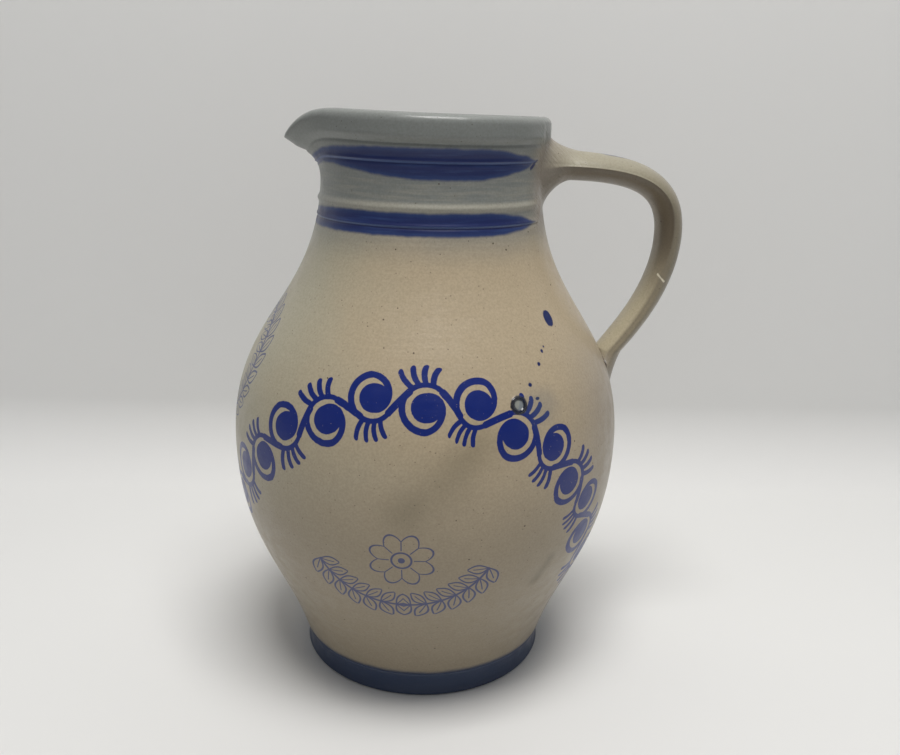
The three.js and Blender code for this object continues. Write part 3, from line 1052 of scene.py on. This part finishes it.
def leaf_prints(n, x, y, height):
    """How much the flower, the garland under it and the wreath under the lip ink the wall."""
    across, up = print_place(n, SPRAY_MIDDLE, x, y, height)
    below = up - SPRAY_STEM_CENTRE
    travel = n.angle(abs(across), below) * SPRAY_STEM_RADIUS
    half_round = math.floor(math.pi * SPRAY_STEM_RADIUS / LEAF_SPACING)
    garland_end = (half_round - SPRAY_LEAVES) * LEAF_SPACING
    garland = leafy_ring(n, below, abs(across), SPRAY_STEM_RADIUS)
    garland *= n.ramp(travel, garland_end, garland_end + 0.1)
    bloom = flower(n, across, up - FLOWER_UP)
    ring_across, ring_up = print_place(n, WREATH_MIDDLE, x, y, height)
    near_wreath = n.ramp(n.length(ring_across, ring_up), WREATH_REACH, WREATH_REACH - 1.0)
    wreath = leafy_ring(n, ring_across, ring_up, WREATH_RADIUS) * near_wreath
    return n.either(garland, bloom, wreath)


# Painted bands round the neck, by their angle from the handle and their level before the pull. Each edge
# starts at the band's tip and changes over spans of angle: from, to and by how much.

NECK_BANDS = [
    {
        "tip": (30, RIM_HEIGHT - 17.6),
        "top": [(30, 44, 2.4), (38, 68, 2.8), (110, 175, -2.0)],
        "low": [(30, 46, -3.0), (38, 74, -3.6), (95, 165, 4.6)],
        "line": RIM_HEIGHT - 17.7,
    },
    {
        "tip": (32, RIM_HEIGHT - 41.9),
        "top": [(32, 46, 2.9), (40, 68, 2.4), (140, 178, -1.6)],
        "low": [(32, 46, -2.0), (38, 68, -1.8)],
        "line": RIM_HEIGHT - 42.0,
    },
]
NECK_BAND_EDGE = 0.75
NECK_BAND_THIN_EDGE = 2.6


def band_edge(n, level, spans, from_handle):
    """The level of a band's edge, from its tip onwards."""
    for low, high, change in spans:
        level = n.ramp(from_handle, low, high, 0.0, change) + level
    return level


def neck_bands(n, coordinates, height, from_handle):
    """How much the brushed bands ink the neck, and how thin their blue is."""
    level = height + n.ragged(coordinates, 5.0, 1.1, 3.0)
    inks = []
    thins = []
    for band in NECK_BANDS:
        tip_angle, tip_level = band["tip"]
        above = level - band_edge(n, tip_level, band["top"], from_handle)
        below = band_edge(n, tip_level, band["low"], from_handle) - level
        outside = n.either(above, below)
        ink = n.inside(outside, NECK_BAND_EDGE) * n.ramp(from_handle, tip_angle, tip_angle + 2.0)
        line = n.ramp(abs(height - band["line"]), 0.65, 0.2, 0.0, 0.7)
        inks.append(ink)
        thins.append(n.either(line, n.ramp(outside, -NECK_BAND_THIN_EDGE, 0.0, 0.0, 0.45) * ink))
    return n.either(*inks), n.either(*thins)


# Single marks on the jug. A place on the wall is its angle right of the camera's axis and its height, and a
# place on the strap is the way along it and the angle round it, with 90 degrees on its outer face.


def wall_place(degrees, height):
    polar = math.radians(degrees - 90 + CAMERA_AZIMUTH_DEGREES)
    return outer_wall(np.array(float(height)), np.array(polar)).tolist()


def handle_place(travel, degrees):
    return strap_point(np.array(float(travel)), np.radians(degrees)).tolist()


# Where each splash is, its radius, and how its height is squeezed or stretched
SPLASHES = [
    ((48.9, 171.2), 2.6, (1, 1, 0.55)),
    ((40.8, 162.0), 0.45, (1, 1, 1)),
    ((39.4, 160.6), 0.65, (1, 1, 0.8)),
    ((36.4, 156.4), 0.85, (1, 1, 1)),
    ((31.0, 149.8), 0.85, (1, 1, 1)),
    ((32.6, 144.6), 1.0, (1, 1, 1.6)),
]
BAND_DROP = ((57.4, 229.9), (63.0, 232.6))
BAND_DROP_RADIUS = 0.8
HANDLE_STROKE = ((30, 90), (64, 90))
HANDLE_STROKE_RADIUS = 3.4
BLEMISH = (26.1, 143.4)
BLEMISH_RADIUS = 3.5
BLEMISH_RING = BLEMISH_RADIUS - 0.7
BLEMISH_RING_HALF = 1.3
HAZE = (33.1, 141.0)
HAZE_RADIUS = 14
DARK_BAND_LINE = ((15, 131), (-5, 103))
DARK_BAND_RADIUS = 16
SMEAR_LINE = ((39.5, 73), (36, 63))
SMEAR_RADIUS = 4.5
NICK = ((96.8, 222), (98.8, 184))
NICK_RADIUS = 0.45
CREASE_TRAVEL = (40.0, 110.0) # the stretch of the strap over which its crease moves inwards
CREASE_LIFT = (0.03, -0.57) # where the crease lies before and after it


def off_line(n, coordinates, place_of, ends):
    """Distance from the straight line between two places, which place_of works out."""
    start, end = [Vector(place_of(*place)) for place in ends]
    direction = (end - start).normalized()
    offset = n.vector_maths("SUBTRACT", 0, {0: coordinates, 1: start})
    along = n.vector_maths("DOT_PRODUCT", "Value", {0: offset, 1: direction})
    reach = n.clip(along, 0.0, (end - start).length)
    nearest = n.vector_maths("SCALE", 0, {0: direction, "Scale": reach})
    return n.away(offset, nearest)


def splashes(n, coordinates):
    """How much the dripped and brushed blue inks the wall and the handle."""
    ragged = n.ragged(coordinates, 1.5, 0.7)
    inks = []
    for place, radius, stretch in SPLASHES:
        middle = np.multiply(wall_place(*place), stretch).tolist()
        near = n.away(n.scaled(coordinates, stretch), middle)
        inks.append(n.inside(near + ragged - radius, 0.25))
    drop = off_line(n, coordinates, wall_place, BAND_DROP)
    stroke = off_line(n, coordinates, handle_place, HANDLE_STROKE)
    inks.append(n.inside(drop + ragged - BAND_DROP_RADIUS, 0.3))
    inks.append(n.inside(stroke + ragged * 2.0 - HANDLE_STROKE_RADIUS, 0.6) * 0.8)
    return n.either(*inks)


# Colours

CLAY_WARM = linear(184, 168, 141)
CLAY_COOL = linear(174, 168, 147)
# Painted shade: darker clay for the belly by the handle
CLAY_RIGHT_SHADED = linear(160, 148, 131)
# Painted shade: darker clay for the lower belly, as under a light from above
CLAY_LOW_SHADED = linear(155, 143, 122)
CLAY_NECK = linear(130, 134, 131)
# The neck's own pale streaks, and a painted highlight on the turned ridge
CLAY_NECK_STREAKS_AND_RIDGE_HIGHLIGHT = linear(160, 158, 146)
CLAY_INSIDE = linear(150, 140, 120)
# Painted light and shade on the strap: its lit top, lit under edge, shaded underside, shaded bend, lit inside
# and shaded outside below the bend
HANDLE_LIT_TOP = linear(158, 152, 132)
HANDLE_LIT_UNDER_EDGE = linear(150, 143, 128)
HANDLE_SHADED_UNDERSIDE = linear(119, 110, 95)
HANDLE_SHADED_BEND = linear(136, 128, 110)
HANDLE_LIT_INSIDE = linear(184, 175, 150)
HANDLE_SHADED_OUTSIDE = linear(146, 137, 117)
ROOT_GREY = linear(150, 139, 126)
SPECK = linear(70, 58, 44)
COBALT_DEEP = linear(6, 28, 86)
COBALT_THIN = linear(50, 78, 130)
COBALT_PRINT = linear(14, 36, 112)
COBALT_LINE = linear(40, 58, 116)
COBALT_FOOT = linear(32, 54, 88)
# Dark olive for the diagonal band and the small smear on the belly
DARK_OLIVE = linear(96, 92, 70)
HAZE_BLUE = linear(92, 104, 116)
BLEMISH_DARK = linear(16, 24, 42)
BLEMISH_HEART = linear(134, 140, 138)
# Painted shadow in the gap where the handle's lower root meets the wall
PAINTED_GAP_SHADOW = linear(44, 34, 22)
CHIP_PALE = linear(226, 220, 200)


# Gloss, and how high each kind of relief stands, in millimetres
ROUGHNESS = (0.30, 0.44)
ROUGHNESS_GLASSY = 0.12
SPECULAR = 0.38
COAT = 0.15
COAT_ROUGHNESS = 0.10
GLAZE_IOR = 1.5
PEEL_RELIEF = 0.05
THROWING_RELIEF = 0.10
CREASE_RELIEF = 0.35
CREASE_HALF = 0.22
PULLED_RELIEF = 0.45
BLISTER_RELIEF = 0.7


def near_root(n, from_handle, height):
    """How near a point of the wall is to the handle's upper root."""
    return n.ramp(from_handle, 42.0, 24.0) * n.ramp(height, RIM_HEIGHT - 50, RIM_HEIGHT - 40)


def off_crease(n):
    """How far outwards from its crease a point of the strap lies, from -1 inside the handle to 1 outside."""
    return n.sine(n.mark("turn")) - n.ramp(n.mark("travel"), *CREASE_TRAVEL, *CREASE_LIFT)


def clay_colour(n, coordinates, height, from_handle):
    """Fired clay: greyer towards the lip, pinker by the handle and blue-grey on the neck. Painted shade
    darkens it below and on the belly by the handle, and a painted highlight makes the turned ridge pale.
    """
    drift = n.ragged(coordinates, 60.0, 1.0, 3.0, 0.55)
    clay = n.blend(n.ramp(from_handle + drift * 60.0, 95.0, 160.0), CLAY_WARM, CLAY_COOL)
    # Painted shade: darker on the belly by the handle
    clay = n.blend(n.ramp(from_handle, 62.0, 28.0) * n.ramp(height, 175.0, 130.0), clay, CLAY_RIGHT_SHADED)
    # Painted shade: darker towards the bottom, as under a light from above
    clay = n.blend(n.ramp(height + drift * 40.0, 140.0, 60.0), clay, CLAY_LOW_SHADED)
    streaks = n.noise(n.scaled(coordinates, (0.05, 0.05, 0.8)), 1.0, 3.0, 0.6)
    # Painted highlight: the turned ridge is made pale as if its upper face caught the light; the streaks are
    # the glaze's own
    ridge_highlight = n.ramp(abs(height - RIDGE_HEIGHT), 3.0, 1.0)
    pale = n.either(n.ramp(streaks, 0.35, 0.75, 0.0, 0.6), ridge_highlight)
    pale *= n.ramp(height, RIM_HEIGHT - 10, RIM_HEIGHT - 16)
    pale *= n.ramp(from_handle, 175.0, 110.0, 0.35, 1.0)
    neck = n.ramp(height + drift * 10.0, RIM_HEIGHT - 60, RIM_HEIGHT - 34)
    clay = n.blend(neck, clay, n.blend(pale, CLAY_NECK, CLAY_NECK_STREAKS_AND_RIDGE_HIGHLIGHT))
    below_collar = n.ramp(height, RIM_HEIGHT - 9, RIM_HEIGHT - 14)
    return n.blend(near_root(n, from_handle, height) * below_collar * 0.8, clay, ROOT_GREY)


def dark_patches(n, clay, coordinates):
    """A dark diagonal band and the small smear on the belly."""
    soft = n.ragged(coordinates, 14.0, 9.0)
    # A dark diagonal band across the belly
    dark_band = off_line(n, coordinates, wall_place, DARK_BAND_LINE)
    clay = n.blend(n.ramp(dark_band + soft, DARK_BAND_RADIUS, -4.0, 0.0, 0.36), clay, DARK_OLIVE)
    smear = off_line(n, coordinates, wall_place, SMEAR_LINE)
    return n.blend(n.ramp(smear + soft * 0.4, SMEAR_RADIUS, 0.0, 0.0, 0.45), clay, DARK_OLIVE)


# Specks: how far apart their cells are, how much of a cell the largest takes, and how dark they are
SPECKS = [(1.9, 0.15, 0.55), (5.5, 0.075, 0.85)]
SPECK_EDGE = 0.06


def specked(n, clay, coordinates):
    """Fine mottling and iron specks in the clay."""
    mottle = n.noise(coordinates, 0.9, 3.0, 0.6)
    clay = n.blend(n.ramp(mottle, 0.30, 0.70, 0.16, 0.0), clay, SPECK)
    for cell, largest, share in SPECKS:
        inputs = {"Vector": coordinates, "Scale": 1 / cell}
        away = n.make("ShaderNodeTexVoronoi", "Distance", inputs, feature="F1")
        random = n.split(Value(n, away.socket.node.outputs["Color"]))[0]
        sizes = n.ramp(random, 0.5, 1.0, 0.0, largest)
        clay = n.blend(n.inside(away - sizes, SPECK_EDGE / cell) * share, clay, SPECK)
    return clay


def handle_colour(n, clay, coordinates, on_handle):
    """The handle has a crease along each edge, and light and shade are painted on its clay. Above the bend it
    is painted pale over the crease as lit and dark under it as shaded, and below the bend pale inside the
    crease as lit and darker outside as shaded. A shadow is painted where the lower root meets the wall."""
    travel = n.mark("travel")
    lift = n.sine(n.mark("turn"))
    lower = n.ramp(travel, 0.55 * STRAP_LENGTH, 0.82 * STRAP_LENGTH)
    # Painted light and shade: the over side is lit at the top, shaded at the bend and shaded on the outside
    # below it
    over = n.blend(n.ramp(travel, 0.25 * STRAP_LENGTH, 0.5 * STRAP_LENGTH), HANDLE_LIT_TOP, HANDLE_SHADED_BEND)
    over = n.blend(n.ramp(travel, 0.6 * STRAP_LENGTH, 0.8 * STRAP_LENGTH), over, HANDLE_SHADED_OUTSIDE)
    # Painted shade on the under side above the bend, with a painted lit line along its under edge
    dark = n.ramp(lift, -0.99, -0.88) * n.ramp(travel, 2.0, 16.0, 0.4, 1.0)
    under = n.blend(lower, n.blend(dark, HANDLE_LIT_UNDER_EDGE, HANDLE_SHADED_UNDERSIDE), HANDLE_LIT_INSIDE)
    strap = n.blend(n.ramp(off_crease(n), -0.12, 0.14), under, over)
    colour = n.blend(on_handle, clay, strap)
    # Painted shadow in the gap where the lower root meets the wall, on the strap's under edges
    shadowed_gap_side = n.ramp(lift, -0.1, -0.3) * n.ramp(abs(n.maths("COSINE", n.mark("turn"))), 0.3, 0.5)
    at_wall = n.ramp(on_handle + n.ragged(coordinates, 2.0, 0.3), 0.34, 0.2) * n.ramp(on_handle, 0.0, 0.04)
    colour = n.blend(shadowed_gap_side * at_wall * lower * 0.9, colour, PAINTED_GAP_SHADOW)
    nick = off_line(n, coordinates, handle_place, NICK)
    return n.blend(n.inside(nick - NICK_RADIUS, 0.2), colour, CHIP_PALE)


def blemished(n, colour, coordinates, away):
    """A burst blister in the glaze: a dark glassy ring with a grey heart and a blue haze beside it."""
    haze = n.away(coordinates, wall_place(*HAZE)) + n.ragged(coordinates, 8.0, 9.0)
    colour = n.blend(n.ramp(haze, HAZE_RADIUS, 1.0, 0.0, 0.3), colour, HAZE_BLUE)
    colour = n.blend(n.ramp(away, BLEMISH_RING + 0.1, BLEMISH_RING - 0.7, 0.0, 0.85), colour, BLEMISH_HEART)
    off_ring = abs(away + n.ragged(coordinates, 2.4, 1.2) - BLEMISH_RING)
    return n.blend(n.ramp(off_ring, BLEMISH_RING_HALF, 0.6, 0.0, 0.95), colour, BLEMISH_DARK)


def painted(n, clay, coordinates, height, from_handle, outside):
    """The clay with its blue bands, foot, prints and splashes."""
    x, y, _ = n.split(coordinates)
    bands, thin = neck_bands(n, coordinates, height, from_handle)
    brush = n.noise(n.scaled(coordinates, (0.04, 0.04, 0.6)), 1.0, 3.0, 0.55)
    cobalt = n.blend(n.either(thin, n.ramp(brush, 0.48, 0.75, 0.0, 0.45)), COBALT_DEEP, COBALT_THIN)
    colour = n.blend(bands * outside * 0.96, clay, cobalt)
    foot = n.ramp(height + n.ragged(coordinates, 9.0, 1.2), FOOT_HEIGHT + 1.8, FOOT_HEIGHT - 1.6)
    colour = n.blend(foot * n.ramp(height, -1.0, 0.5) * 0.95, colour, COBALT_FOOT)
    colour = n.blend(leaf_prints(n, x, y, height) * outside * 0.85, colour, COBALT_LINE)
    pinholes = n.ramp(n.noise(coordinates, 0.9, 1.0), 0.72, 0.78, 1.0, 0.7)
    colour = n.blend(scroll_band(n, coordinates) * pinholes * outside, colour, COBALT_PRINT)
    return n.blend(splashes(n, coordinates) * (1.0 - n.mark("inside")), colour, COBALT_DEEP)


def relief(n, coordinates, height, on_handle, from_handle, from_blemish):
    """Fine relief in millimetres: orange peel, throwing rings, the crease, pulled clay and the blister."""
    x, y, z = n.split(coordinates)
    peel = n.noise(coordinates, 1.1)
    throwing = n.noise(n.scaled(coordinates, (0.03, 0.03, 0.45)), 1.0)
    crease = n.ramp(abs(off_crease(n)), 0.0, CREASE_HALF, CREASE_RELIEF, 0.0) * on_handle
    pulled_clay = n.noise(n.vector((x + z) * 0.9, y * 0.2, (z - x) * 0.06), 1.0)
    by_root = near_root(n, from_handle, height) * n.ramp(n.mark("travel"), 30.0, 12.0)
    blister = n.ramp(abs(from_blemish - BLEMISH_RING), BLEMISH_RING_HALF, 0.0, 0.0, BLISTER_RELIEF)
    thrown = peel * PEEL_RELIEF + throwing * THROWING_RELIEF
    return thrown + crease + pulled_clay * by_root * PULLED_RELIEF + blister


def stoneware():
    """Salt-glazed clay with everything painted on it."""
    material = bpy.data.materials.new("salt_glazed_stoneware")
    material.use_nodes = True
    n = Nodes(material.node_tree)
    shader = material.node_tree.nodes["Principled BSDF"]
    coordinates = n.scaled(n.make("ShaderNodeTexCoord", "Object"), (1 / MILLIMETRE,) * 3)
    x, y, _ = n.split(coordinates)
    height = n.mark("height")
    on_handle = n.mark("handle")
    inside = n.mark("inside")
    from_handle = abs(n.angle(y, x) * (180 / math.pi))
    outside = (1.0 - on_handle) * (1.0 - inside)
    from_blemish = n.away(coordinates, wall_place(*BLEMISH))

    clay = clay_colour(n, coordinates, height, from_handle)
    clay = dark_patches(n, clay, coordinates)
    clay = handle_colour(n, clay, coordinates, on_handle)
    clay = specked(n, clay, coordinates)
    colour = painted(n, clay, coordinates, height, from_handle, outside)
    colour = blemished(n, colour, coordinates, from_blemish)
    n.feed(shader.inputs["Base Color"], n.blend(inside * 0.85, colour, CLAY_INSIDE))

    glassy = n.ramp(from_blemish, BLEMISH_RADIUS + 0.5, BLEMISH_RADIUS - 0.5)
    rough = n.ramp(n.noise(coordinates, 6.0, 3.0), 0.3, 0.7, *ROUGHNESS)
    n.feed(shader.inputs["Roughness"], rough * (1.0 - glassy) + glassy * ROUGHNESS_GLASSY)
    shader.inputs["Specular IOR Level"].default_value = SPECULAR
    shader.inputs["Coat Weight"].default_value = COAT
    shader.inputs["Coat Roughness"].default_value = COAT_ROUGHNESS
    shader.inputs["IOR"].default_value = GLAZE_IOR
    heights = relief(n, coordinates, height, on_handle, from_handle, from_blemish)
    bump = n.make("ShaderNodeBump", "Normal", {"Distance": MILLIMETRE, "Strength": 1.0, "Height": heights})
    n.feed(shader.inputs["Normal"], bump)
    return material


def card():
    """Pale matt card for the floor and the wall, unseen by a camera that looks at its back."""
    material = bpy.data.materials.new("pale_card")
    material.use_nodes = True
    n = Nodes(material.node_tree)
    shader = material.node_tree.nodes["Principled BSDF"]
    clouds = n.noise(n.make("ShaderNodeTexCoord", "Object"), 0.4)
    n.feed(shader.inputs["Base Color"], n.blend(clouds, linear(226, 226, 224), linear(230, 230, 229)))
    shader.inputs["Roughness"].default_value = 0.9
    shader.inputs["Specular IOR Level"].default_value = 0.2
    seen = n.make("ShaderNodeLightPath", "Is Camera Ray")
    behind = n.make("ShaderNodeNewGeometry", "Backfacing")
    clear = n.make("ShaderNodeBsdfTransparent", "BSDF")
    surface = {0: seen * behind, 1: Value(n, shader.outputs["BSDF"]), 2: clear}
    output = material.node_tree.nodes["Material Output"]
    n.feed(output.inputs["Surface"], n.make("ShaderNodeMixShader", "Shader", surface))
    return material


# Stage: a pale floor that curves up into a pale wall close behind

FLOOR_REACH = 3.0
WALL_DISTANCE = 0.215
WALL_BEND = 0.05
WALL_BEND_STEPS = 32
WALL_TOP = 2.4
SKY_COLOUR = (0.93, 0.95, 1.0, 1)
SKY_STRENGTH = 0.19
CEILING_PLACE = (0.06, -0.33, 1.4)
CEILING_TARGET = (0, 0, 0.1)
CEILING_SIZE = (0.7, 0.45)
CEILING_WATTS = 15.3
CEILING_COLOUR = (1, 0.985, 0.965)


def add_stage():
    """One sheet of pale card: flat under the jug, then swept up into a wall."""
    azimuth = math.radians(CAMERA_AZIMUTH_DEGREES)
    back = Vector((-math.sin(azimuth), math.cos(azimuth), 0))
    side = Vector((back.y, -back.x, 0))
    profile = [(-FLOOR_REACH, 0.0), (WALL_DISTANCE - WALL_BEND, 0.0)]
    for angle in np.linspace(0, math.pi / 2, WALL_BEND_STEPS + 1)[1:]:
        reach = WALL_DISTANCE - WALL_BEND + WALL_BEND * math.sin(angle)
        profile.append((reach, WALL_BEND - WALL_BEND * math.cos(angle)))
    profile.append((WALL_DISTANCE, WALL_TOP))
    points = []
    for reach, height in profile:
        for across in (-FLOOR_REACH, FLOOR_REACH):
            point = back * reach + side * across
            points.append((point.x, point.y, height))
    faces = [(2 * i, 2 * i + 1, 2 * i + 3, 2 * i + 2) for i in range(len(profile) - 1)]
    mesh = bpy.data.meshes.new("floor")
    mesh.from_pydata(points, [], faces)
    mesh.shade_smooth()
    mesh.materials.append(card())
    floor = bpy.data.objects.new("floor", mesh)
    bpy.context.scene.collection.objects.link(floor)
    return floor


def light_scene():
    """One soft area light above the jug and a dim sky all round."""
    world = bpy.data.worlds.new("studio")
    world.use_nodes = True
    background = world.node_tree.nodes["Background"]
    background.inputs["Color"].default_value = SKY_COLOUR
    background.inputs["Strength"].default_value = SKY_STRENGTH
    bpy.context.scene.world = world
    bpy.context.scene.view_settings.view_transform = "Standard"
    data = bpy.data.lights.new("ceiling", "AREA")
    data.shape = "RECTANGLE"
    data.size, data.size_y = CEILING_SIZE
    data.energy = CEILING_WATTS
    data.color = CEILING_COLOUR
    light = bpy.data.objects.new("ceiling", data)
    light.location = CEILING_PLACE
    light.rotation_mode = "QUATERNION"
    aim = Vector(CEILING_TARGET) - Vector(CEILING_PLACE)
    light.rotation_quaternion = aim.to_track_quat("-Z", "Y")
    bpy.context.scene.collection.objects.link(light)


def main():
    """Builds the scene."""
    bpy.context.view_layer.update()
    add_camera()
    add_stage()
    light_scene()
    jug = build_jug()
    jug.data.materials.append(stoneware())
    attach(jug, "root")
    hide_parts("jug")


main()
